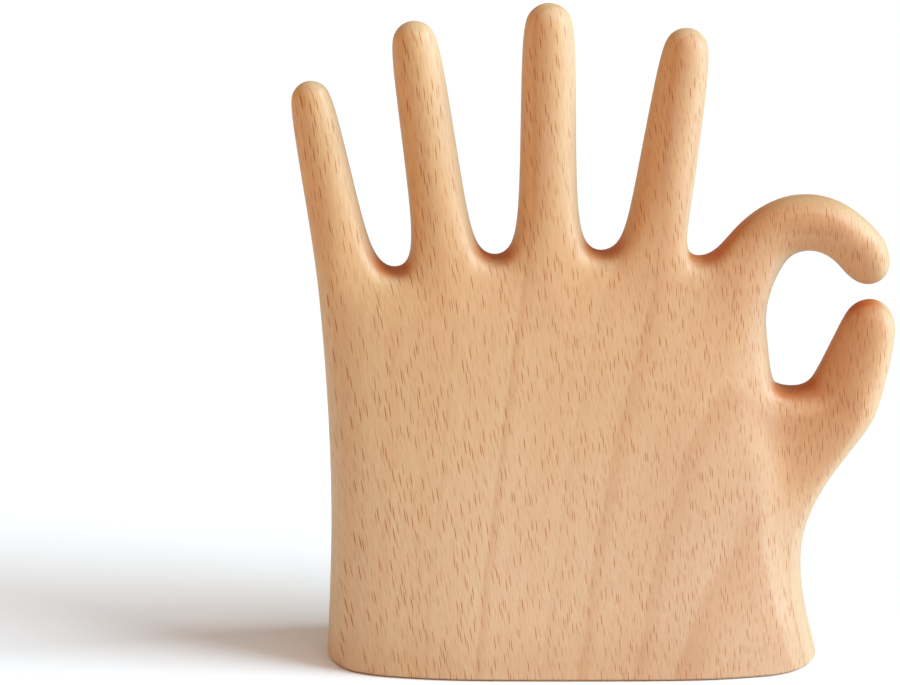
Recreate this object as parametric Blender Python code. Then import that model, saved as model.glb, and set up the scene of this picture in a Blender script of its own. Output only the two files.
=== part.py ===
"""Hand-shaped jewelry stand: a carved beech hand on a felt pad.

The hand is one piece of plank, with four straight fingers for rings, a hooked finger and a thumb.
Metres, +Z up, the front faces -Y. The origin is the middle of the pad's underside.
"""

from collections import namedtuple
from math import cos, pi, radians, sin

import bmesh
import bpy
from mathutils import Vector

Section = namedtuple("Section", "height left right depth squareness right_drop")
Digit = namedtuple("Digit", "root_x root_z lean run bend_radius tip_lean reach root_d tip_d crest belly")
Web = namedtuple("Web", "x z")

# Height of the palm, from the table to the middle of the row of webs, and how gently a finger bends
PALM_HEIGHT = 0.1170
FINGER_BEND = 0.12

# Palm, level by level from the foot up: height, edges seen from the front, thickness front to back,
# exponent of the rounded section, and how far the level sinks towards the thumb side
FOOT = Section(height=0.0, left=-0.0699, right=0.0704, depth=0.052, squareness=3.5, right_drop=0.0)
WRIST = Section(height=0.256 * PALM_HEIGHT, left=-0.0685, right=0.0604, depth=0.043, squareness=3.8,
                right_drop=-0.0077)
HEEL = Section(height=0.444 * PALM_HEIGHT, left=-0.0684, right=0.0660, depth=0.0365, squareness=4.6,
               right_drop=0.0)
CROTCH = Section(height=0.658 * PALM_HEIGHT, left=-0.0693, right=0.0558, depth=0.030, squareness=4.0,
                 right_drop=0.0004)
KNUCKLES = Section(height=0.872 * PALM_HEIGHT, left=-0.0711, right=0.0549, depth=0.024, squareness=4.0,
                   right_drop=0.0122)

# Straight fingers: root of the centre line, lean from upright in degrees, straight run, gentle bend to
# the tip's lean, straight reach to the tip, thickness, shift of the crest towards the thumb side, and
# thickening of the middle
LITTLE = Digit(root_x=-0.0648, root_z=PALM_HEIGHT - 0.0040, lean=-8.7, run=0.028, bend_radius=FINGER_BEND,
               tip_lean=-12.7, reach=0.0174, root_d=0.0145, tip_d=0.0124, crest=0.12, belly=0.0)
RING = Digit(root_x=-0.0362, root_z=PALM_HEIGHT - 0.0010, lean=-7.0, run=0.040, bend_radius=FINGER_BEND,
             tip_lean=-9.5, reach=0.0221, root_d=0.0149, tip_d=0.0140, crest=0.0, belly=0.0)
MIDDLE = Digit(root_x=-0.0077, root_z=PALM_HEIGHT + 0.0010, lean=0.0, run=0.0, bend_radius=FINGER_BEND,
               tip_lean=0.0, reach=0.0697, root_d=0.0152, tip_d=0.0151, crest=0.06, belly=0.0)
POINTER = Digit(root_x=0.0222, root_z=PALM_HEIGHT, lean=6.8, run=0.038, bend_radius=FINGER_BEND,
                tip_lean=9.6, reach=0.0205, root_d=0.0165, tip_d=0.0141, crest=0.12, belly=0.0)

# Hooked finger and thumb, bent more, with the crest on the outer side of the bend
HOOK = Digit(root_x=0.0443, root_z=PALM_HEIGHT - 0.0068, lean=37.0, run=0.0126, bend_radius=0.0163,
             tip_lean=148.0, reach=0.0112, root_d=0.0167, tip_d=0.0138, crest=-0.25, belly=0.1)
THUMB = Digit(root_x=0.0738, root_z=0.629 * PALM_HEIGHT, lean=33.5, run=0.0, bend_radius=0.052,
              tip_lean=7.0, reach=0.0080, root_d=0.0216, tip_d=0.0162, crest=0.30, belly=0.0)
HOOK_ROOT_D = 0.0213

# Webs between neighbouring digits: lowest point of each gap, width, drop and depth of the saddle, and
# crispness of the gaps' front and back rims, from 0 to 1
WEBS = [Web(x=-0.0500, z=PALM_HEIGHT - 0.0044), Web(x=-0.0221, z=PALM_HEIGHT - 0.0008),
        Web(x=0.0076, z=PALM_HEIGHT + 0.0004), Web(x=0.0346, z=PALM_HEIGHT - 0.0010)]
WEB_FLAT = 0.0078
WEB_CROWN = 0.0030
WEB_DEPTH = 0.0180
GAP_RIM = 0.33

# Knuckles: thickness where the fingers leave the palm, and length over which their flare dies out
ROOT_DEPTH = 0.0205
FLARE_LENGTH = 0.015

# Felt pad, glued into a recess of the underside and standing a little proud of it
PAD_THICKNESS = 0.0015
PAD_PROUD = 0.0003
PAD_INSET = 0.005
GLUE_GAP = 0.0003
FOOT_CHAMFER = 0.0006

# Cage: sides of a digit's ring, rings along the hook's bend, place of the thumb's middle ring along
# its bend, how late a palm level sinks on its way to the thumb side, subdivision, points round the pad
RING_SIDES = 8
HOOK_STEPS = 3
THUMB_KNUCKLE = 0.20
DROP_POWER = 3
LEVELS = 2
PAD_POINTS = 72

# A subdivided ring shrinks, so its cage is drawn larger by this factor
SWELL = 6 / (4 + 2 * cos(2 * pi / RING_SIDES))

# Rounded fingertip in units of its radius: distance back from the tip and cage radius
TIP_SHOULDER = (1.0, 1.13)
TIP_CROWN = (0.2, 0.81)
TIP_APEX = 0.33

BEECH_COLOUR = (0.60, 0.37, 0.22, 1.0)
FELT_COLOUR = (0.16, 0.13, 0.11, 1.0)

FINGERS = [LITTLE, RING, MIDDLE, POINTER, HOOK]
PALM = [FOOT, WRIST, HEEL, CROTCH, KNUCKLES]
SIN45 = sin(radians(45))


def clear_scene():
    """Remove everything that the file holds."""
    for ob in list(bpy.data.objects):
        bpy.data.objects.remove(ob, do_unlink=True)


def principled(name, colour, roughness):
    """Make a plain material for one piece."""
    mat = bpy.data.materials.new(name)
    mat.use_nodes = True
    shader = mat.node_tree.nodes["Principled BSDF"]
    shader.inputs["Base Color"].default_value = colour
    shader.inputs["Roughness"].default_value = roughness
    mat.diffuse_color = colour
    return mat


def add_object(name, bm, material):
    """Turn a bmesh into a named, smooth object with its own material."""
    bmesh.ops.recalc_face_normals(bm, faces=bm.faces)
    for face in bm.faces:
        face.smooth = True
    mesh = bpy.data.meshes.new(name)
    bm.to_mesh(mesh)
    bm.free()
    if material:
        mesh.materials.append(material)
    ob = bpy.data.objects.new(name, mesh)
    bpy.context.scene.collection.objects.link(ob)
    return ob


def centre_line(digit, distance):
    """Point and lean, in radians, at a distance from the root: straight run, bend, straight reach."""
    lean = radians(digit.lean)
    turn = radians(digit.tip_lean) - lean
    bend_length = abs(turn) * digit.bend_radius
    straight = min(distance, digit.run)
    x = digit.root_x + straight * sin(lean)
    z = digit.root_z + straight * cos(lean)
    bent = min(max(distance - digit.run, 0), bend_length)
    if bent > 0:
        end = lean + turn * bent / bend_length
        radius = bend_length / turn
        x += radius * (cos(lean) - cos(end))
        z += radius * (sin(end) - sin(lean))
        lean = end
    rest = distance - straight - bent
    return x + rest * sin(lean), z + rest * cos(lean), lean


def digit_length(digit):
    """Length of the whole centre line, from root to tip."""
    bend = abs(radians(digit.tip_lean - digit.lean)) * digit.bend_radius
    return digit.run + bend + digit.reach


def ring_points(digit, distance, radius):
    """Cage ring across a digit, from its left side round by the front."""
    x, z, lean = centre_line(digit, distance)
    points = []
    for side in range(RING_SIDES):
        angle = 2 * pi * side / RING_SIDES
        across = radius * (digit.crest * abs(sin(angle)) - cos(angle))
        points.append(Vector((x + across * cos(lean), -radius * sin(angle), z - across * sin(lean))))
    return points


def bridge(bm, lower, upper):
    """Join two rings of vertices with four-sided faces."""
    count = len(lower)
    for i in range(count):
        j = (i + 1) % count
        bm.faces.new((lower[i], lower[j], upper[j], upper[i]))


def grow_digit(bm, socket, digit, stations):
    """Grow a digit from its socket ring through the stations to a rounded tip."""
    length = digit_length(digit)
    tip = digit.tip_d / 2
    last = length - TIP_SHOULDER[0] * tip
    rings = []
    for distance in stations:
        share = (distance - stations[0]) / (last - stations[0])
        radius = digit.root_d / 2 * (1 - share) + tip * share
        radius *= SWELL * (1 + digit.belly * sin(pi * share))
        rings.append(ring_points(digit, distance, radius))
    for back, radius in (TIP_SHOULDER, TIP_CROWN):
        rings.append(ring_points(digit, length - back * tip, radius * tip))
    loops = [socket]
    for points in rings:
        loops.append([bm.verts.new(point) for point in points])
        bridge(bm, loops[-2], loops[-1])
    x, z, _ = centre_line(digit, length + TIP_APEX * tip)
    apex = bm.verts.new((x, 0, z))
    for i in range(0, RING_SIDES, 2):
        bm.faces.new((loops[-1][i], loops[-1][i + 1], loops[-1][(i + 2) % RING_SIDES], apex))
    return loops[1]


def socket_row():
    """Front points of the row where the digits leave the palm, with the web points between them."""
    front = []
    hook_x = HOOK_ROOT_D / 2 * SWELL * cos(radians(HOOK.lean))
    hook_z = HOOK_ROOT_D / 2 * SWELL * sin(radians(HOOK.lean))
    left = Vector((LITTLE.root_x - LITTLE.root_d / 2 * SWELL, 0, LITTLE.root_z))
    right = Vector((HOOK.root_x + hook_x, 0, HOOK.root_z - hook_z))
    ends = [left]
    for web in WEBS:
        height = web.z + WEB_CROWN / 3
        ends.append(Vector((web.x - WEB_FLAT / 2, 0, height)))
        ends.append(Vector((web.x + WEB_FLAT / 2, 0, height)))
    ends.append(right)
    for i, finger in enumerate(FINGERS):
        near, far = ends[2 * i], ends[2 * i + 1]
        root = Vector((finger.root_x, -ROOT_DEPTH / 2, finger.root_z - WEB_CROWN))
        flanks = []
        for end in (near, far):
            x = root.x + SIN45 * (end.x - root.x)
            flanks.append(Vector((x, -WEB_DEPTH / 2, end.z - WEB_CROWN)))
        front += [flanks[0], root, flanks[1]]
    return left, front, right, ends[1:-1]


def palm_row(section, shares):
    """Left, front and right points of one palm level, spread like the digits above it."""
    width = section.right - section.left
    front = []
    for share in shares:
        reach = abs(2 * share - 1)
        y = -section.depth / 2 * (1 - reach ** section.squareness) ** (1 / section.squareness)
        x = section.left + width * share
        z = PAD_PROUD + section.height - section.right_drop * share ** DROP_POWER
        front.append(Vector((x, y, z)))
    left = Vector((section.left - (front[0].x - section.left) / 2, 0, PAD_PROUD + section.height))
    right = Vector((section.right + (section.right - front[-1].x) / 2, 0,
                    PAD_PROUD + section.height - section.right_drop))
    return left, front, right


def loop_vertices(bm, left, front, right):
    """Close a row into a loop: left side, front, right side, and the front mirrored as the back."""
    back = [Vector((point.x, -point.y, point.z)) for point in reversed(front)]
    return [bm.verts.new(point) for point in [left] + front + [right] + back]


def make_hand(material):
    """Cage of the palm with its digits, smoothed by subdivision, with a chamfered foot."""
    bm = bmesh.new()
    left, front, right, web_points = socket_row()
    shares = [(point.x - left.x) / (right.x - left.x) for point in front]
    loops = [loop_vertices(bm, *palm_row(section, shares)) for section in PALM]
    loops.append(loop_vertices(bm, left, front, right))
    columns = len(front)
    side = columns + 1
    count = len(loops[0])

    # Palm walls, left open where the thumb leaves between the wrist and the crotch
    wrist, heel, crotch = (PALM.index(level) for level in (WRIST, HEEL, CROTCH))
    for level, (lower, upper) in enumerate(zip(loops, loops[1:])):
        for i in range(count):
            if level in (wrist, heel) and i in (side - 1, side):
                continue
            j = (i + 1) % count
            bm.faces.new((lower[i], lower[j], upper[j], upper[i]))
    bm.faces.new(list(reversed(loops[0])))

    # Straight fingers and the hooked one grow from the top row
    top = loops[-1]
    webs = [bm.verts.new(point) for point in web_points]
    edges = [top[0]] + webs + [top[side]]
    rims = []
    for i, finger in enumerate(FINGERS):
        first = 1 + 3 * i
        near, far = edges[2 * i], edges[2 * i + 1]
        fronts = top[first:first + 3]
        backs = [top[(count - k) % count] for k in range(first + 2, first - 1, -1)]
        socket = [near] + fronts + [far] + backs
        if finger is HOOK:
            bend = digit_length(finger) - finger.run - finger.reach
            stations = [finger.run + bend * k / HOOK_STEPS for k in range(HOOK_STEPS + 1)]
        else:
            stations = [FLARE_LENGTH]
        ring = grow_digit(bm, socket, finger, stations)
        rims += [(socket[k], ring[k]) for k in (1, 3, 5, 7)]
        if finger is not HOOK:
            nxt = edges[2 * i + 2]
            front_flank, back_flank = top[first + 3], top[count - first - 3]
            bm.faces.new((fronts[2], front_flank, nxt, far))
            bm.faces.new((far, nxt, back_flank, backs[0]))
            rims += [(fronts[2], front_flank), (backs[0], back_flank)]

    # Thumb, from the opening in the palm's right side
    low, mid, high = loops[wrist], loops[heel], loops[crotch]
    socket = [high[side], high[side - 1], mid[side - 1], low[side - 1],
              low[side], low[side + 1], mid[side + 1], high[side + 1]]
    unused = mid[side]
    bend = digit_length(THUMB) - THUMB.run - THUMB.reach
    ring = grow_digit(bm, socket, THUMB, [0, bend * THUMB_KNUCKLE])
    for k, corner in ((1, side - 1), (7, side + 1)):
        rims += [(socket[k], ring[k]), (socket[k], loops[crotch + 1][corner])]
    bm.verts.remove(unused)

    # Keep the underside flat and its edge crisp, and the rims of the gaps rather crisp
    crease = bm.edges.layers.float.new("crease_edge")
    foot = set(loops[0])
    for edge in bm.edges:
        if edge.verts[0] in foot and edge.verts[1] in foot:
            edge[crease] = 1.0
    for ends in rims:
        bm.edges.get(ends)[crease] = GAP_RIM

    hand = add_object("hand", bm, material)
    smooth = hand.modifiers.new("Carved form", "SUBSURF")
    smooth.levels = LEVELS
    smooth.render_levels = LEVELS
    smooth.use_limit_surface = False
    chamfer = hand.modifiers.new("Foot chamfer", "BEVEL")
    chamfer.width = FOOT_CHAMFER
    chamfer.segments = 1
    chamfer.limit_method = "ANGLE"
    chamfer.angle_limit = radians(60)
    return hand


def pad_outline(grow):
    """Points round the pad, an inset copy of the foot's outline, grown by a clearance."""
    middle = (FOOT.left + FOOT.right) / 2
    half_width = (FOOT.right - FOOT.left) / 2 - PAD_INSET + grow
    half_depth = FOOT.depth / 2 - PAD_INSET + grow
    power = 2 / FOOT.squareness
    points = []
    for i in range(PAD_POINTS):
        angle = 2 * pi * i / PAD_POINTS
        c, s = cos(angle), sin(angle)
        x = middle + half_width * abs(c) ** power * (1 if c > 0 else -1)
        y = half_depth * abs(s) ** power * (1 if s > 0 else -1)
        points.append((x, y))
    return points


def slab(name, outline, bottom, top, material):
    """Closed flat slab over an outline."""
    bm = bmesh.new()
    low = [bm.verts.new((x, y, bottom)) for x, y in outline]
    high = [bm.verts.new((x, y, top)) for x, y in outline]
    bridge(bm, low, high)
    bm.faces.new(list(reversed(low)))
    bm.faces.new(high)
    return add_object(name, bm, material)


def cut_recess(hand):
    """Cut the pad's recess out of the underside."""
    ceiling = PAD_THICKNESS + GLUE_GAP
    cutter = slab("pad_recess_cutter", pad_outline(GLUE_GAP), -PAD_THICKNESS, ceiling, None)
    cutter.hide_render = True
    cutter.display_type = "WIRE"
    cut = hand.modifiers.new("Pad recess", "BOOLEAN")
    cut.operation = "DIFFERENCE"
    cut.solver = "EXACT"
    cut.object = cutter


def main():
    clear_scene()
    beech = principled("beech", BEECH_COLOUR, 0.45)
    felt = principled("felt", FELT_COLOUR, 0.95)
    hand = make_hand(beech)
    cut_recess(hand)
    slab("felt_pad", pad_outline(0), 0, PAD_THICKNESS, felt)


main()
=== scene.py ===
"""Looks of the hand-shaped jewelry stand: carved beech on a felt pad, laid out as a small add-on."""

from math import cos, pi, radians, sin, sqrt

import bmesh
import bpy
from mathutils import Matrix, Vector
from mathutils.bvhtree import BVHTree


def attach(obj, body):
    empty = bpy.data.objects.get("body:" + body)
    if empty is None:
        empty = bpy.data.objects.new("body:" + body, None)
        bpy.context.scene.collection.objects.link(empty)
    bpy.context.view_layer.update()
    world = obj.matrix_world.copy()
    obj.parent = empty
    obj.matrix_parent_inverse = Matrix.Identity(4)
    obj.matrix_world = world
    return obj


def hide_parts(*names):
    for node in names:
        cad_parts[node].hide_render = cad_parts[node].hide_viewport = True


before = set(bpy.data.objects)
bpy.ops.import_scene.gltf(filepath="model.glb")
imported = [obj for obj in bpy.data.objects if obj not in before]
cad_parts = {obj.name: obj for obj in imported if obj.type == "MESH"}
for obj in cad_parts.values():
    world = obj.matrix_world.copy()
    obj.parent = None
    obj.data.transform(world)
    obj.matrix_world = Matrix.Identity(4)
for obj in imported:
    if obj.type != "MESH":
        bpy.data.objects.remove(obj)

bl_info = {
    "name": "Hand Jewelry Stand",
    "version": (1, 0, 0),
    "blender": (4, 5, 0),
    "location": "3D View > Sidebar > Stand",
    "description": "Dresses the carved hand and its felt pad, and sets them on a white table",
    "category": "Object",
}

FLOAT = "NodeSocketFloat"
VECTOR = "NodeSocketVector"
BLACK = (0, 0, 0, 1)
WHITE = (1, 1, 1, 1)

# Places of a Mix node's colour sockets, which share their names with its other sockets
MIX_FACTOR = 0
MIX_A = 6
MIX_B = 7
MIX_RESULT = 2

# Meshes: points this near merge, triangles that bend and skew no more than this pair up, and an edge that
# bends more than the last stays sharp
MERGE = 0.00001
PAIR_BEND = radians(35)
PAIR_SKEW = radians(70)
SHARP_BEND = radians(38)

# Felt pad: its soft edge, and the number of steps in it
PAD_EDGE = 0.0003
PAD_EDGE_STEPS = 2

# Felt: fineness and twist of the wool, and its nap
WOOL_SCALE = 2500.0
WOOL_DETAIL = 4.0
WOOL_ROUGHNESS = 0.7
WOOL_TWIST = 1.5
FELT_ROUGHNESS = 0.95
FELT_SHEEN = 0.25
NAP_STRENGTH = 0.5
NAP_DEPTH = 0.0004

# Shelter: number of feelers sent out from a point, the golden turn between them in half turns, their reach,
# and how far above the wood they start
FEELERS = 120
GOLDEN_TURN = 3 - sqrt(5)
SHELTER_REACH = 0.045
SHELTER_LIFT = 0.0004

# Trunk: height at which the pith is where the settings say, its lean per metre, and the sway of the fibres
PITH_HEIGHT = 0.09
PITH_LEAN_X = -0.0095
PITH_LEAN_Y = -0.0442
SWAY_SCALE = 22.0
SWAY_DETAIL = 2.0
SWAY_ROUGHNESS = 0.5
SWAY_MIDDLE = 0.5
RING_SWAY = 0.0025
RAY_SWAY = 0.0010

# Rays: how they fan out upwards and towards the bark, and their lean, which ends at the hooked finger
RAY_FAN = 0.35
RAY_FOCUS = 0.4
RAY_LEAN = 0.030
RAY_LEAN_SIDE = (0.020, 0.060)

# Growth rings: where the late wood of a year starts and stops, and the same for a dark year, in parts of
# their widths; then the bands of redder years
LATE_RISE = (0.45, 0.93)
LATE_FALL = (0.93, 1.0)
DARK_YEAR_WIDTH = 0.0022
DARK_RISE = (-0.2, 0.1)
DARK_FALL = (0.1, 1.0)
BAND_SCALE = 0.55
BAND_DETAIL = 2.0
BAND_CUT = (0.35, 0.65)

# Flecks: shift of each column along the grain and of each layer across it, disorder of their places, least
# and greatest growth, soft edge, and how dark the small and the full-grown ones are
STAGGER = 0.382
LAYER_SHIFT = 17.3
FLECK_DISORDER = 0.5
FLECK_GROWTH = (0.55, 1.35)
FLECK_EDGE = (0.45, 1.0)
FLECK_LUCK = (0.25, 1.0)
FLECK_DARKNESS = (0.05, 1.0)

# Two sets of flecks, which grow shorter and thinner from the little finger's side to the thumb's side
STRETCH_SIDE = (-0.06, 0.05)
STRETCH_LEFT = 1.12
STRETCH_RIGHT = 0.98
FLECK_SIDE = (-0.06, 0.03)
LARGE_FLECK = (0.235, 0.195)
SMALL_FLECK = (0.23, 0.20)
SMALL_WIDTH = 0.80
SMALL_LENGTH = 0.75
LARGE_SEED = 0.0
SMALL_SEED = 31.0

# Fibres: their size across, along and through the plank
FIBRE_WIDTH = 0.00034
FIBRE_LENGTH = 0.0080
FIBRE_DEPTH = 0.0012
FIBRE_DETAIL = 3.0
FIBRE_ROUGHNESS = 0.6
FIBRE_CUT = (0.3, 0.7)

# How strongly each mark shows in the wood's colour
BLUSH_SHARE = 0.75
LATE_SHARE = 0.20
DARK_SHARE = 0.34
FIBRE_SHARE = 0.28
FLANK_FLECKS = 0.12
FAINT_SIDE = (-0.03, 0.04)
FAINT_SHARE = (0.36, 0.56)
BOLD_SHARE = 0.93
END_SHARE = 0.05

# Faces: where a face begins to count as flat-sawn, end grain, upper, lit by the window, shady or part of a
# nook, and where it fully counts, by the share of its direction along one axis. The upper and lit faces take
# painted light, and the shady and nook faces take painted shade
FLAT_FACE = (0.32, 0.72)
END_FACE = (0.45, 0.95)
UPPER_FACE = (0.15, 0.85)
UPPER_SHARE = 0.6
WINDOW_FACE = (0.12, 0.70)
SHADY_FACE = (0.12, -0.65)
NOOK_FACE = (0.16, 0.72)
NOOK_FACE_SHARE = (0.12, 1.0)
NOOK_SHELTER = (0.05, 0.42)

# Places: where a tint starts and where it is full, by side and by height
CURLED_SIDE = (0.047, 0.064)
CURLED_HEIGHT = (0.030, 0.060)
WARM_HEIGHT = (0.02, 0.135)
DIGIT_HEIGHT = (0.085, 0.135)
HEART_SIDE = (0.0, 0.045)
SAP_SIDE = (-0.02, -0.05)
FOOT_HEIGHT = (0.020, 0.003)

# How much less the digits take of the painted window light, and the curled ones of the painted shade on shady
# sides
DIGITS_LESS = 0.9
CURLED_LESS = 0.25

# Wood's finish: roughness and dents of the fibres
FIBRE_GLOSS = 0.06
FIBRE_DENT = 0.4
DENT_STRENGTH = 0.10
DENT_DEPTH = 0.0002

# Camera and table
PICTURE_WIDTH = 900
SENSOR = 36.0
VIEW_REACH = 50
TABLE_HALF = 4
TABLE_ROUGHNESS = 0.9
TABLE_GLOSS = 0.1


def colour_property(label, words, value):
    """Colour that a user may change."""
    return bpy.props.FloatVectorProperty(
        name=label, description=words, subtype="COLOR", size=4, min=0, max=2, default=(*value, 1))


def length_property(label, words, value):
    """Length in metres that a user may change."""
    return bpy.props.FloatProperty(name=label, description=words, default=value, unit="LENGTH", precision=5)


def share_property(label, words, value):
    """Plain share from 0 to 1."""
    return bpy.props.FloatProperty(
        name=label, description=words, default=value, min=0, max=1, subtype="FACTOR")


def angle_property(label, words, degrees):
    """Angle that a user may change."""
    return bpy.props.FloatProperty(name=label, description=words, default=radians(degrees), subtype="ANGLE")


class BeechSettings(bpy.types.PropertyGroup):
    """Colours and grain of the beech, and the tints that paint light and shade on it."""
    early: colour_property("Early wood", "Pale wood of spring", (0.655, 0.502, 0.316))
    rosy: colour_property("Rosy wood", "Years that are a little redder", (0.646, 0.459, 0.278))
    late: colour_property("Late wood", "Darker line that ends a year's growth", (0.49, 0.255, 0.120))
    ray: colour_property("Rays", "Short brown flecks of the rays", (0.37, 0.123, 0.022))
    end: colour_property(
        "End grain", "Wood cut across its fibres, which takes more oil", (0.46, 0.245, 0.12))
    flank: colour_property("Quarter wood", "Yellowish wood cut along the rays", (0.612, 0.480, 0.288))
    # Redder towards the fingertips and on the thumb and the hooked finger, but not on faces that take painted
    # light
    warm: colour_property(
        "Finger tint", "Tint of the redder wood towards the fingertips", (0.985, 0.890, 0.738))
    heart: colour_property("Heart tint", "Tint of the pinker wood towards the pith", (0.965, 0.935, 0.955))
    sap: colour_property("Sap tint", "Tint of the yellower wood towards the bark", (0.970, 0.975, 0.925))
    # Painted light: a tint on the faces turned to the window and on upward faces, for the window's light on
    # them
    window_light: colour_property(
        "Window tint", "Tint of the side that the window has bleached", (0.900, 0.875, 0.915))
    # Painted shade on the digits' sides turned away from the window
    shady: colour_property(
        "Shady tint", "Tint of the side that the window has not bleached", (1.0, 0.825, 0.63))
    # Painted shade on the thumb and the hooked finger
    curled_shade: colour_property("Curled tint", "Tint of the thumb and the hooked finger", (0.95, 0.89, 0.85))
    # Painted shade in the nooks between the digits, where they shut a point in
    nook: colour_property(
        "Nooks", "Painted shade between the digits, where they shut a point in", (0.84, 0.34, 0.085))
    # Painted shade on the front and the back just above the table
    foot: colour_property(
        "Foot tint", "Tint of the front and the back just above the table", (0.92, 0.885, 0.84))
    pith_x: length_property("Pith X", "Side place of the trunk's middle", 0.0704)
    pith_y: length_property("Pith Y", "The trunk's middle, in front of the hand", -0.1368)
    ring_width: length_property("Ring width", "Width of one year's growth", 0.0037)
    dark_years: bpy.props.FloatVectorProperty(
        name="Dark years", description="Distance of the strongest growth rings from the pith", size=4,
        unit="LENGTH", precision=4, default=(0.1232, 0.1276, 0.1349, 0.1518))
    ray_width: length_property("Ray spacing across", "Mean distance between rays across the grain", 0.00064)
    ray_length: length_property("Ray spacing along", "Mean distance between rays along the grain", 0.0076)
    ray_depth: length_property("Ray depth", "How far a ray runs towards the bark", 0.0300)
    gloss_roughness: share_property("Roughness", "Satin of the oiled surface", 0.54)


class FeltSettings(bpy.types.PropertyGroup):
    """Colours of the felt pad."""
    dark: colour_property("Felt", "Dark fibres", (0.46, 0.36, 0.25))
    light: colour_property("Felt nap", "Light fibres", (0.66, 0.56, 0.43))


class StageSettings(bpy.types.PropertyGroup):
    """Camera, table and light."""
    pitch: angle_property("Pitch", "How far the camera looks down", 15)
    distance: length_property("Distance", "From the camera to the aimed point", 1.0)
    aim_x: length_property("Aim X", "Side place of the aimed point", -0.03475)
    aim_z: length_property("Aim Z", "Height of the aimed point", 0.0917)
    focal_pixels: bpy.props.FloatProperty(
        name="Focal length", description="Focal length in picture pixels", default=3560)
    key_strength: bpy.props.FloatProperty(
        name="Window", description="Strength of the window light", default=4.62)
    key_colour: colour_property("Window colour", "Colour of the window light", (0.80, 0.92, 1.0))
    key_turn: angle_property("Window turn", "How far the window stands in front of the right side", 13)
    key_height: angle_property("Window height", "Height of the window's middle above the table", 32)
    key_spread: angle_property("Window spread", "How wide the window looks", 34)
    fill_strength: bpy.props.FloatProperty(
        name="High window", description="Strength of the smaller window in front", default=0.35)
    fill_turn: angle_property("High window turn", "How far the smaller window stands in front", 40)
    fill_height: angle_property("High window height", "Height of the smaller window", 52)
    fill_spread: angle_property("High window spread", "How wide the smaller window looks", 34)
    room_right: colour_property("Room right", "Room light from the right", (0.03, 0.06, 0.10))
    room_left: colour_property("Room left", "Room light from the left", (0.76, 0.42, 0.25))
    room_front: colour_property("Room front", "Room light from the front", (1.06, 0.375, 0.165))
    room_back: colour_property("Room back", "Room light from behind", (0.62, 0.40, 0.26))
    room_top: colour_property("Room top", "Room light from above", (0.33, 0.45, 0.46))
    table: colour_property("Table", "White table", (0.880, 0.905, 0.920))


class Bench:
    """Short way to place and link nodes."""

    def __init__(self, tree):
        self.tree = tree

    def add(self, kind, settings=None, **inputs):
        """New node with its settings and inputs; an input is a value or a socket."""
        node = self.tree.nodes.new(kind)
        for name, value in (settings or {}).items():
            setattr(node, name, value)
        for name, value in inputs.items():
            self.feed(node.inputs[name.replace("_", " ")], value)
        return node

    def group(self, tree, **inputs):
        """Place a node group with its inputs; returns its outputs."""
        node = self.tree.nodes.new("ShaderNodeGroup")
        node.node_tree = tree
        for name, value in inputs.items():
            self.feed(node.inputs[name.replace("_", " ")], value)
        return node.outputs

    def feed(self, socket, value):
        """Link a socket, or set a plain value."""
        if isinstance(value, bpy.types.NodeSocket):
            self.tree.links.new(value, socket)
        else:
            socket.default_value = value

    def math(self, operation, *values):
        """Math node; returns its output."""
        node = self.tree.nodes.new("ShaderNodeMath")
        node.operation = operation
        for socket, value in zip(node.inputs, values):
            self.feed(socket, value)
        return node.outputs[0]

    def times(self, a, b):
        """Product of two values."""
        return self.math("MULTIPLY", a, b)

    def without(self, mask, other):
        """Mask where the other one does not cover it."""
        return self.times(mask, self.math("SUBTRACT", 1.0, other))

    def step(self, value, low, high, out_low=0.0, out_high=1.0):
        """Smooth step of a value from one range to another."""
        node = self.add("ShaderNodeMapRange", {"interpolation_type": "SMOOTHSTEP"}, Value=value,
                        From_Min=low, From_Max=high, To_Min=out_low, To_Max=out_high)
        return node.outputs["Result"]

    def fall(self, value, low, high):
        """Smooth step down from 1 to 0."""
        return self.step(value, low, high, 1.0, 0.0)

    def mix(self, factor, a, b, blend="MIX"):
        """Mix two colours."""
        node = self.tree.nodes.new("ShaderNodeMix")
        node.data_type = "RGBA"
        node.blend_type = blend
        self.feed(node.inputs[MIX_FACTOR], factor)
        self.feed(node.inputs[MIX_A], a)
        self.feed(node.inputs[MIX_B], b)
        return node.outputs[MIX_RESULT]

    def tint(self, mask, wood, colour):
        """Multiply a colour by a tint under a mask."""
        return self.mix(mask, wood, tuple(colour), "MULTIPLY")

    def vector(self, x, y, z):
        """Combine three values."""
        return self.add("ShaderNodeCombineXYZ", X=x, Y=y, Z=z).outputs[0]

    def split(self, vector):
        """Separate a vector; returns its three outputs."""
        return self.add("ShaderNodeSeparateXYZ", Vector=vector).outputs


def new_group(name, inputs, outputs):
    """Empty shader node group with named sockets; returns its bench, its inputs and its outputs."""
    tree = bpy.data.node_groups.new(name, "ShaderNodeTree")
    for label, kind in inputs:
        tree.interface.new_socket(label, in_out="INPUT", socket_type=kind)
    for label in outputs:
        tree.interface.new_socket(label, in_out="OUTPUT", socket_type=FLOAT)
    entry = tree.nodes.new("NodeGroupInput")
    leave = tree.nodes.new("NodeGroupOutput")
    return Bench(tree), entry.outputs, leave.inputs


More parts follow.
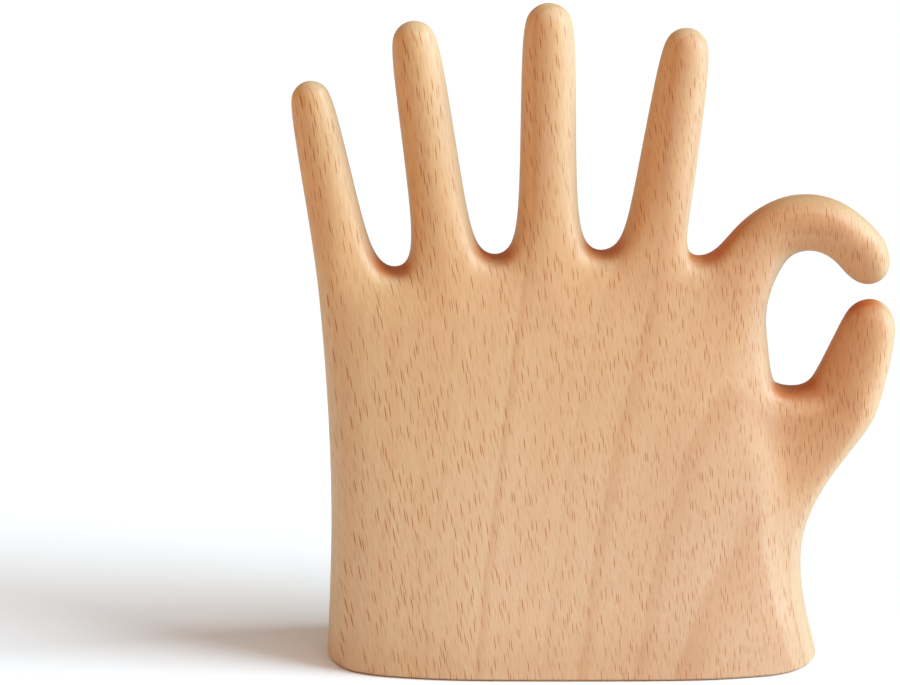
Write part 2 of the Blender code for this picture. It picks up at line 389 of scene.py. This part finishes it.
def plank_place_group():
    """Place in the trunk: distance from the pith, and the way across, along and through the fibres."""
    bench, given, result = new_group(
        "Place in the plank", [("Vector", VECTOR), ("Pith X", FLOAT), ("Pith Y", FLOAT)],
        ["Radius", "Across", "Height", "Deep"])
    x, y, z = bench.split(given["Vector"])
    rise = bench.math("SUBTRACT", z, PITH_HEIGHT)
    side = bench.math("SUBTRACT", x, given["Pith X"])
    across = bench.math("SUBTRACT", side, bench.times(rise, PITH_LEAN_X))
    out = bench.math("SUBTRACT", y, given["Pith Y"])
    outward = bench.math("ADD", out, bench.times(rise, PITH_LEAN_Y))
    noise = bench.add("ShaderNodeTexNoise", {"noise_dimensions": "3D"}, Vector=given["Vector"],
                      Scale=SWAY_SCALE, Detail=SWAY_DETAIL, Roughness=SWAY_ROUGHNESS)
    sway = bench.math("SUBTRACT", noise.outputs["Fac"], SWAY_MIDDLE)
    squares = bench.math("ADD", bench.times(across, across), bench.times(outward, outward))
    radius = bench.math("ADD", bench.math("SQRT", squares), bench.times(sway, RING_SWAY))

    fan = bench.math("SUBTRACT", 1.0, bench.times(rise, RAY_FAN))
    spread = bench.math("DIVIDE", RAY_FOCUS, bench.math("ADD", y, RAY_FOCUS))
    fanned = bench.times(bench.times(across, fan), spread)
    lean = bench.times(rise, bench.step(x, *RAY_LEAN_SIDE, RAY_LEAN, 0.0))
    leaning = bench.math("ADD", fanned, lean)
    bench.feed(result["Radius"], radius)
    bench.feed(result["Across"], bench.math("ADD", leaning, bench.times(sway, RAY_SWAY)))
    bench.feed(result["Height"], z)
    bench.feed(result["Deep"], y)
    return bench.tree


def growth_ring_group(dark_years):
    """Growth rings: a thin late line at each year's end, a few dark years, and a redness in bands."""
    bench, given, result = new_group(
        "Growth rings", [("Radius", FLOAT), ("Width", FLOAT)], ["Late", "Dark", "Blush"])
    years = bench.math("DIVIDE", given["Radius"], given["Width"])
    part = bench.math("FRACT", years)
    luck = bench.add("ShaderNodeTexWhiteNoise", {"noise_dimensions": "1D"}, W=bench.math("FLOOR", years))
    late = bench.times(bench.step(part, *LATE_RISE), bench.fall(part, *LATE_FALL))
    strong = bench.times(luck.outputs["Value"], luck.outputs["Value"])
    dark = 0.0
    for year in dark_years:
        inside = bench.math("DIVIDE", bench.math("SUBTRACT", year, given["Radius"]), DARK_YEAR_WIDTH)
        line = bench.times(bench.step(inside, *DARK_RISE), bench.fall(inside, *DARK_FALL))
        dark = bench.math("ADD", dark, line)
    band = bench.add("ShaderNodeTexNoise", {"noise_dimensions": "1D"}, W=years, Scale=BAND_SCALE,
                     Detail=BAND_DETAIL)
    bench.feed(result["Late"], bench.times(late, strong))
    bench.feed(result["Dark"], dark)
    bench.feed(result["Blush"], bench.step(band.outputs["Fac"], *BAND_CUT))
    return bench.tree


def ray_fleck_group():
    """Mask of the rays, thin spindles where they end on the surface, in layers through the plank."""
    bench, given, result = new_group(
        "Ray flecks", [("Across", FLOAT), ("Height", FLOAT), ("Deep", FLOAT), ("Width", FLOAT),
                       ("Length", FLOAT), ("Depth", FLOAT), ("Size", FLOAT), ("Seed", FLOAT)], ["Fleck"])
    deep = bench.math("FLOOR", bench.math("DIVIDE", given["Deep"], given["Depth"]))
    layer = bench.math("ADD", deep, given["Seed"])
    across = bench.math("ADD", bench.math("DIVIDE", given["Across"], given["Width"]),
                        bench.times(layer, LAYER_SHIFT))
    along = bench.math("ADD", bench.math("DIVIDE", given["Height"], given["Length"]),
                       bench.times(across, STAGGER))
    cells = bench.add("ShaderNodeTexVoronoi", {"feature": "F1", "voronoi_dimensions": "2D"},
                      Vector=bench.vector(across, along, 0.0), Scale=1.0, Randomness=FLECK_DISORDER)
    luck = bench.add("ShaderNodeSeparateColor", Color=cells.outputs["Color"]).outputs[0]
    reach = bench.times(given["Size"], bench.step(luck, 0.0, 1.0, *FLECK_GROWTH))
    spindle = bench.fall(bench.math("DIVIDE", cells.outputs["Distance"], reach), *FLECK_EDGE)
    darkness = bench.step(luck, *FLECK_LUCK, *FLECK_DARKNESS)
    bench.feed(result["Fleck"], bench.times(spindle, darkness))
    return bench.tree


def new_material(name):
    """Material with only a Principled shader; returns it with its bench and the shader."""
    material = bpy.data.materials.new(name)
    material.use_nodes = True
    return material, Bench(material.node_tree), material.node_tree.nodes["Principled BSDF"]


def fleck_masks(bench, spot, side, beech):
    """Masks of the large flecks and of the small ones between them."""
    tree = ray_fleck_group()
    length = bench.step(side, *STRETCH_SIDE, beech.ray_length * STRETCH_LEFT,
                        beech.ray_length * STRETCH_RIGHT)
    large = bench.group(
        tree, Across=spot["Across"], Height=spot["Height"], Deep=spot["Deep"], Depth=beech.ray_depth,
        Width=beech.ray_width, Length=length,
        Size=bench.step(side, *FLECK_SIDE, *LARGE_FLECK), Seed=LARGE_SEED)
    small = bench.group(
        tree, Across=spot["Across"], Height=spot["Height"], Deep=spot["Deep"], Depth=beech.ray_depth,
        Width=beech.ray_width * SMALL_WIDTH, Length=bench.times(length, SMALL_LENGTH),
        Size=bench.step(side, *FLECK_SIDE, *SMALL_FLECK), Seed=SMALL_SEED)
    return large["Fleck"], small["Fleck"]


def fibre_mask(bench, spot):
    """Mask of the fine streaks along the grain."""
    place = bench.vector(bench.math("DIVIDE", spot["Across"], FIBRE_WIDTH),
                         bench.math("DIVIDE", spot["Height"], FIBRE_LENGTH),
                         bench.math("DIVIDE", spot["Deep"], FIBRE_DEPTH))
    noise = bench.add("ShaderNodeTexNoise", Vector=place, Scale=1.0, Detail=FIBRE_DETAIL,
                      Roughness=FIBRE_ROUGHNESS)
    return bench.step(noise.outputs["Fac"], *FIBRE_CUT)


def grained_wood(bench, spot, side, facing, flat, beech):
    """Colour of the wood with its rings, fibres and flecks; also returns the large flecks and the fibres."""
    large, small = fleck_masks(bench, spot, side, beech)
    fibres = fibre_mask(bench, spot)
    rings = bench.group(growth_ring_group(beech.dark_years), Radius=spot["Radius"], Width=beech.ring_width)
    wood = bench.mix(bench.times(rings["Blush"], BLUSH_SHARE), tuple(beech.early), tuple(beech.rosy))
    wood = bench.mix(bench.math("SUBTRACT", 1.0, flat), wood, tuple(beech.flank))
    wood = bench.mix(bench.times(rings["Late"], LATE_SHARE), wood, tuple(beech.late))
    wood = bench.mix(bench.times(rings["Dark"], DARK_SHARE), wood, tuple(beech.late))
    wood = bench.mix(bench.times(fibres, FIBRE_SHARE), wood, tuple(beech.late))
    shown = bench.math("ADD", FLANK_FLECKS, bench.times(flat, 1 - FLANK_FLECKS))
    faint = bench.times(small, bench.step(side, *FAINT_SIDE, *FAINT_SHARE))
    wood = bench.mix(bench.times(faint, shown), wood, tuple(beech.ray))
    bold = bench.times(large, BOLD_SHARE)
    wood = bench.mix(bench.times(bold, shown), wood, tuple(beech.ray))
    end = bench.step(bench.math("ABSOLUTE", facing["Z"]), *END_FACE)
    wood = bench.mix(bench.times(end, END_SHARE), wood, tuple(beech.end))
    return wood, large, fibres


def tinted_wood(bench, wood, spot, side, facing, flat, beech):
    """Colour of the wood as it changes over the hand, by height and by side, with painted light and painted
    shade by the way that a face looks, in the nooks and just above the table.
    """
    height = spot["Height"]
    curled = bench.times(bench.step(side, *CURLED_SIDE), bench.step(height, *CURLED_HEIGHT))
    raised = bench.math("MAXIMUM", bench.step(height, *WARM_HEIGHT), curled)
    digits = bench.math("MAXIMUM", bench.step(height, *DIGIT_HEIGHT), curled)
    # Painted light: on upward faces, other than on the thumb and the hooked finger, and on faces turned to
    # the window
    upper = bench.without(bench.step(facing["Z"], *UPPER_FACE, 0.0, UPPER_SHARE), curled)
    lighted = bench.math("MAXIMUM", bench.step(facing["X"], *WINDOW_FACE), upper)
    # Painted shade: on faces turned away from the window
    shady = bench.step(facing["X"], *SHADY_FACE)

    # Redder towards the fingertips, left off the faces with painted light
    wood = bench.tint(bench.without(raised, lighted), wood, beech.warm)
    wood = bench.tint(bench.without(bench.step(side, *HEART_SIDE), lighted), wood, beech.heart)
    wood = bench.tint(bench.times(bench.step(side, *SAP_SIDE), flat), wood, beech.sap)
    # Painted light on the faces turned up or to the window, much weaker on the digits
    wood = bench.tint(bench.without(lighted, bench.times(digits, DIGITS_LESS)), wood, beech.window_light)
    # Painted shade on the digits' faces turned away from the window, weaker on the thumb and the hooked
    # finger
    shaded = bench.math("SUBTRACT", digits, bench.times(curled, CURLED_LESS))
    wood = bench.tint(bench.times(shady, shaded), wood, beech.shady)
    # Painted shade on the rest of the thumb and the hooked finger
    wood = bench.tint(bench.without(curled, bench.math("MAXIMUM", lighted, shady)), wood, beech.curled_shade)

    # Painted shade in the nooks: upward faces that the digits shut in
    shelter = bench.add("ShaderNodeAttribute", {"attribute_name": "shelter"}).outputs["Fac"]
    upward = bench.step(facing["Z"], *NOOK_FACE, *NOOK_FACE_SHARE)
    wood = bench.tint(bench.times(bench.step(shelter, *NOOK_SHELTER), upward), wood, beech.nook)
    # Painted shade on the front and the back just above the table
    return bench.tint(bench.times(bench.step(height, *FOOT_HEIGHT), flat), wood, beech.foot)


def beech_material(beech):
    """Oiled beech: growth rings, rays and fine fibres run through the whole piece."""
    material, bench, shader = new_material("oiled beech")
    coordinate = bench.add("ShaderNodeTexCoord")
    place = coordinate.outputs["Object"]
    side = bench.split(place)["X"]
    facing = bench.split(coordinate.outputs["Normal"])
    flat = bench.step(bench.math("ABSOLUTE", facing["Y"]), *FLAT_FACE)
    spot = bench.group(plank_place_group(), Vector=place, Pith_X=beech.pith_x, Pith_Y=beech.pith_y)
    wood, large, fibres = grained_wood(bench, spot, side, facing, flat, beech)
    wood = tinted_wood(bench, wood, spot, side, facing, flat, beech)
    bench.feed(shader.inputs["Base Color"], wood)

    rough = bench.math("ADD", beech.gloss_roughness, bench.times(fibres, FIBRE_GLOSS))
    bench.feed(shader.inputs["Roughness"], rough)
    dents = bench.math("SUBTRACT", bench.times(fibres, FIBRE_DENT), large)
    bump = bench.add("ShaderNodeBump", Strength=DENT_STRENGTH, Distance=DENT_DEPTH, Height=dents)
    bench.feed(shader.inputs["Normal"], bump.outputs["Normal"])
    return material


def felt_material(felt):
    """Pressed wool felt."""
    material, bench, shader = new_material("wool felt")
    place = bench.add("ShaderNodeTexCoord").outputs["Object"]
    wool = bench.add("ShaderNodeTexNoise", Vector=place, Scale=WOOL_SCALE, Detail=WOOL_DETAIL,
                     Roughness=WOOL_ROUGHNESS, Distortion=WOOL_TWIST).outputs["Fac"]
    bench.feed(shader.inputs["Base Color"], bench.mix(wool, tuple(felt.dark), tuple(felt.light)))
    bench.feed(shader.inputs["Roughness"], FELT_ROUGHNESS)
    bench.feed(shader.inputs["Sheen Weight"], FELT_SHEEN)
    bump = bench.add("ShaderNodeBump", Strength=NAP_STRENGTH, Distance=NAP_DEPTH, Height=wool)
    bench.feed(shader.inputs["Normal"], bump.outputs["Normal"])
    return material


def mark_shelter(mesh):
    """Store on each point how far the digits around it shut it in; this places the painted shade in the
    nooks.
    """
    ways = []
    for i in range(FEELERS):
        rise = 1 - (2 * i + 1) / FEELERS
        turn = i * pi * GOLDEN_TURN
        ring = sqrt(1 - rise * rise)
        ways.append(Vector((ring * cos(turn), ring * sin(turn), rise)))
    bm = bmesh.new()
    bm.from_mesh(mesh)
    tree = BVHTree.FromBMesh(bm)
    shelter = mesh.attributes.new("shelter", "FLOAT", "POINT")
    for vert in bm.verts:
        start = vert.co + vert.normal * SHELTER_LIFT
        total = 0.0
        shut = 0.0
        for way in ways:
            slant = way.dot(vert.normal)
            if slant > 0:
                total += slant
                if tree.ray_cast(start, way, SHELTER_REACH)[0]:
                    shut += slant
        shelter.data[vert.index].value = shut / total
    bm.free()


def merged_copy(node_name, name):
    """Copy of a solid's mesh with its loose triangles merged and paired into four-sided faces."""
    bm = bmesh.new()
    bm.from_mesh(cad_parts[node_name].data)
    bmesh.ops.remove_doubles(bm, verts=bm.verts, dist=MERGE)
    bmesh.ops.join_triangles(bm, faces=bm.faces, cmp_seam=False, cmp_sharp=False, cmp_uvs=False,
                             cmp_vcols=False, cmp_materials=False,
                             angle_face_threshold=PAIR_BEND, angle_shape_threshold=PAIR_SKEW)
    crease = bm.edges.layers.float.new("crease_edge")
    for edge in bm.edges:
        sharp = len(edge.link_faces) == 2 and edge.calc_face_angle() > SHARP_BEND
        edge.smooth = not sharp
        edge[crease] = 1.0 if sharp else 0.0
    for face in bm.faces:
        face.smooth = True
    mesh = bpy.data.meshes.new(name)
    bm.to_mesh(mesh)
    bm.free()
    piece = bpy.data.objects.new(name, mesh)
    bpy.context.scene.collection.objects.link(piece)
    return piece


class STAND_OT_carve_hand(bpy.types.Operator):
    """Smooth the carved hand and give it its beech"""
    bl_idname = "stand.carve_hand"
    bl_label = "Carve the hand"

    def execute(self, context):
        hand = merged_copy("hand", "beech_hand")
        mark_shelter(hand.data)
        smooth = hand.modifiers.new("Sanding", "SUBSURF")
        smooth.levels = 1
        smooth.render_levels = 1
        hand.data.materials.append(beech_material(context.scene.stand_beech))
        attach(hand, "root")
        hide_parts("hand")
        return {"FINISHED"}


class STAND_OT_lay_felt(bpy.types.Operator):
    """Lay the felt pad into the hand's foot"""
    bl_idname = "stand.lay_felt"
    bl_label = "Lay the felt"

    def execute(self, context):
        pad = merged_copy("felt_pad", "felt_pad_cloth")
        soften = pad.modifiers.new("Soft edge", "BEVEL")
        soften.width = PAD_EDGE
        soften.segments = PAD_EDGE_STEPS
        soften.limit_method = "ANGLE"
        pad.data.materials.append(felt_material(context.scene.stand_felt))
        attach(pad, "root")
        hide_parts("felt_pad")
        return {"FINISHED"}


def build_camera(stage):
    """Camera that looks down at the front."""
    data = bpy.data.cameras.new("front_camera")
    data.sensor_width = SENSOR
    data.lens = SENSOR * stage.focal_pixels / PICTURE_WIDTH
    data.clip_end = VIEW_REACH
    camera = bpy.data.objects.new("front_camera", data)
    camera.location = (stage.aim_x, -stage.distance * cos(stage.pitch),
                       stage.aim_z + stage.distance * sin(stage.pitch))
    camera.rotation_euler = (radians(90) - stage.pitch, 0, 0)
    bpy.context.scene.collection.objects.link(camera)
    bpy.context.scene.camera = camera


def build_table(stage):
    """White table that the stand rests on."""
    bm = bmesh.new()
    bmesh.ops.create_grid(bm, x_segments=1, y_segments=1, size=TABLE_HALF)
    mesh = bpy.data.meshes.new("table")
    bm.to_mesh(mesh)
    bm.free()
    table = bpy.data.objects.new("table", mesh)
    bpy.context.scene.collection.objects.link(table)
    material, bench, shader = new_material("white table")
    bench.feed(shader.inputs["Base Color"], tuple(stage.table))
    bench.feed(shader.inputs["Roughness"], TABLE_ROUGHNESS)
    bench.feed(shader.inputs["Specular IOR Level"], TABLE_GLOSS)
    mesh.materials.append(material)


def add_window(name, strength, colour, spread, turn, height):
    """Wide light from the right side, turned towards the front and raised."""
    sun = bpy.data.lights.new(name, "SUN")
    sun.energy = strength
    sun.color = colour[:3]
    sun.angle = spread
    lamp = bpy.data.objects.new(name, sun)
    towards = Vector((cos(turn) * cos(height), -sin(turn) * cos(height), sin(height)))
    lamp.rotation_euler = towards.to_track_quat("Z", "Y").to_euler()
    bpy.context.scene.collection.objects.link(lamp)


def build_windows(stage):
    """Soft window light from the right, and a weaker one from higher up in front."""
    add_window("window", stage.key_strength, stage.key_colour, stage.key_spread, stage.key_turn,
               stage.key_height)
    add_window("high_window", stage.fill_strength, stage.key_colour, stage.fill_spread, stage.fill_turn,
               stage.fill_height)


def build_room(stage):
    """Room with its own light on each side, which looks plain white behind the table."""
    world = bpy.data.worlds.new("room")
    bpy.context.scene.world = world
    world.use_nodes = True
    bench = Bench(world.node_tree)
    backdrop = world.node_tree.nodes["Background"]
    way = bench.split(bench.add("ShaderNodeTexCoord").outputs["Generated"])
    room = BLACK
    sides = [("X", 1, stage.room_right), ("X", -1, stage.room_left), ("Y", -1, stage.room_front),
             ("Y", 1, stage.room_back), ("Z", 1, stage.room_top)]
    for axis, sign, colour in sides:
        towards = bench.math("MAXIMUM", bench.times(way[axis], sign), 0.0)
        share = bench.times(towards, towards)
        room = bench.mix(1.0, room, bench.mix(share, BLACK, tuple(colour)), "ADD")
    seen = bench.add("ShaderNodeLightPath").outputs["Is Camera Ray"]
    bench.feed(backdrop.inputs["Color"], bench.mix(seen, room, WHITE))
    bench.feed(backdrop.inputs["Strength"], 1.0)


class STAND_OT_set_stage(bpy.types.Operator):
    """Set the table, the camera and the light"""
    bl_idname = "stand.set_stage"
    bl_label = "Set the stage"

    def execute(self, context):
        stage = context.scene.stand_stage
        build_camera(stage)
        build_table(stage)
        build_windows(stage)
        build_room(stage)
        context.scene.view_settings.view_transform = "Standard"
        return {"FINISHED"}


class STAND_PT_sidebar(bpy.types.Panel):
    """Lists the stand's pieces and their settings"""
    bl_idname = "STAND_PT_sidebar"
    bl_label = "Hand Jewelry Stand"
    bl_space_type = "VIEW_3D"
    bl_region_type = "UI"
    bl_category = "Stand"

    def draw(self, context):
        for operator in OPERATORS:
            self.layout.operator(operator.bl_idname)
        for name in SETTINGS:
            box = self.layout.box()
            settings = getattr(context.scene, name)
            for field in settings.__annotations__:
                box.prop(settings, field)


SETTINGS = {"stand_beech": BeechSettings, "stand_felt": FeltSettings, "stand_stage": StageSettings}
OPERATORS = [STAND_OT_carve_hand, STAND_OT_lay_felt, STAND_OT_set_stage]


def register():
    """Add the settings, the operators and the panel to Blender."""
    for name, settings in SETTINGS.items():
        bpy.utils.register_class(settings)
        setattr(bpy.types.Scene, name, bpy.props.PointerProperty(type=settings))
    for operator in OPERATORS:
        bpy.utils.register_class(operator)
    bpy.utils.register_class(STAND_PT_sidebar)


def unregister():
    """Take them out again, in the opposite order."""
    bpy.utils.unregister_class(STAND_PT_sidebar)
    for operator in reversed(OPERATORS):
        bpy.utils.unregister_class(operator)
    for name, settings in reversed(SETTINGS.items()):
        delattr(bpy.types.Scene, name)
        bpy.utils.unregister_class(settings)


def main():
    """Dress the stand and set the stage."""
    register()
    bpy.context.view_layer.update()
    bpy.ops.stand.carve_hand()
    bpy.ops.stand.lay_felt()
    bpy.ops.stand.set_stage()


if __name__ == "__main__":
    main()
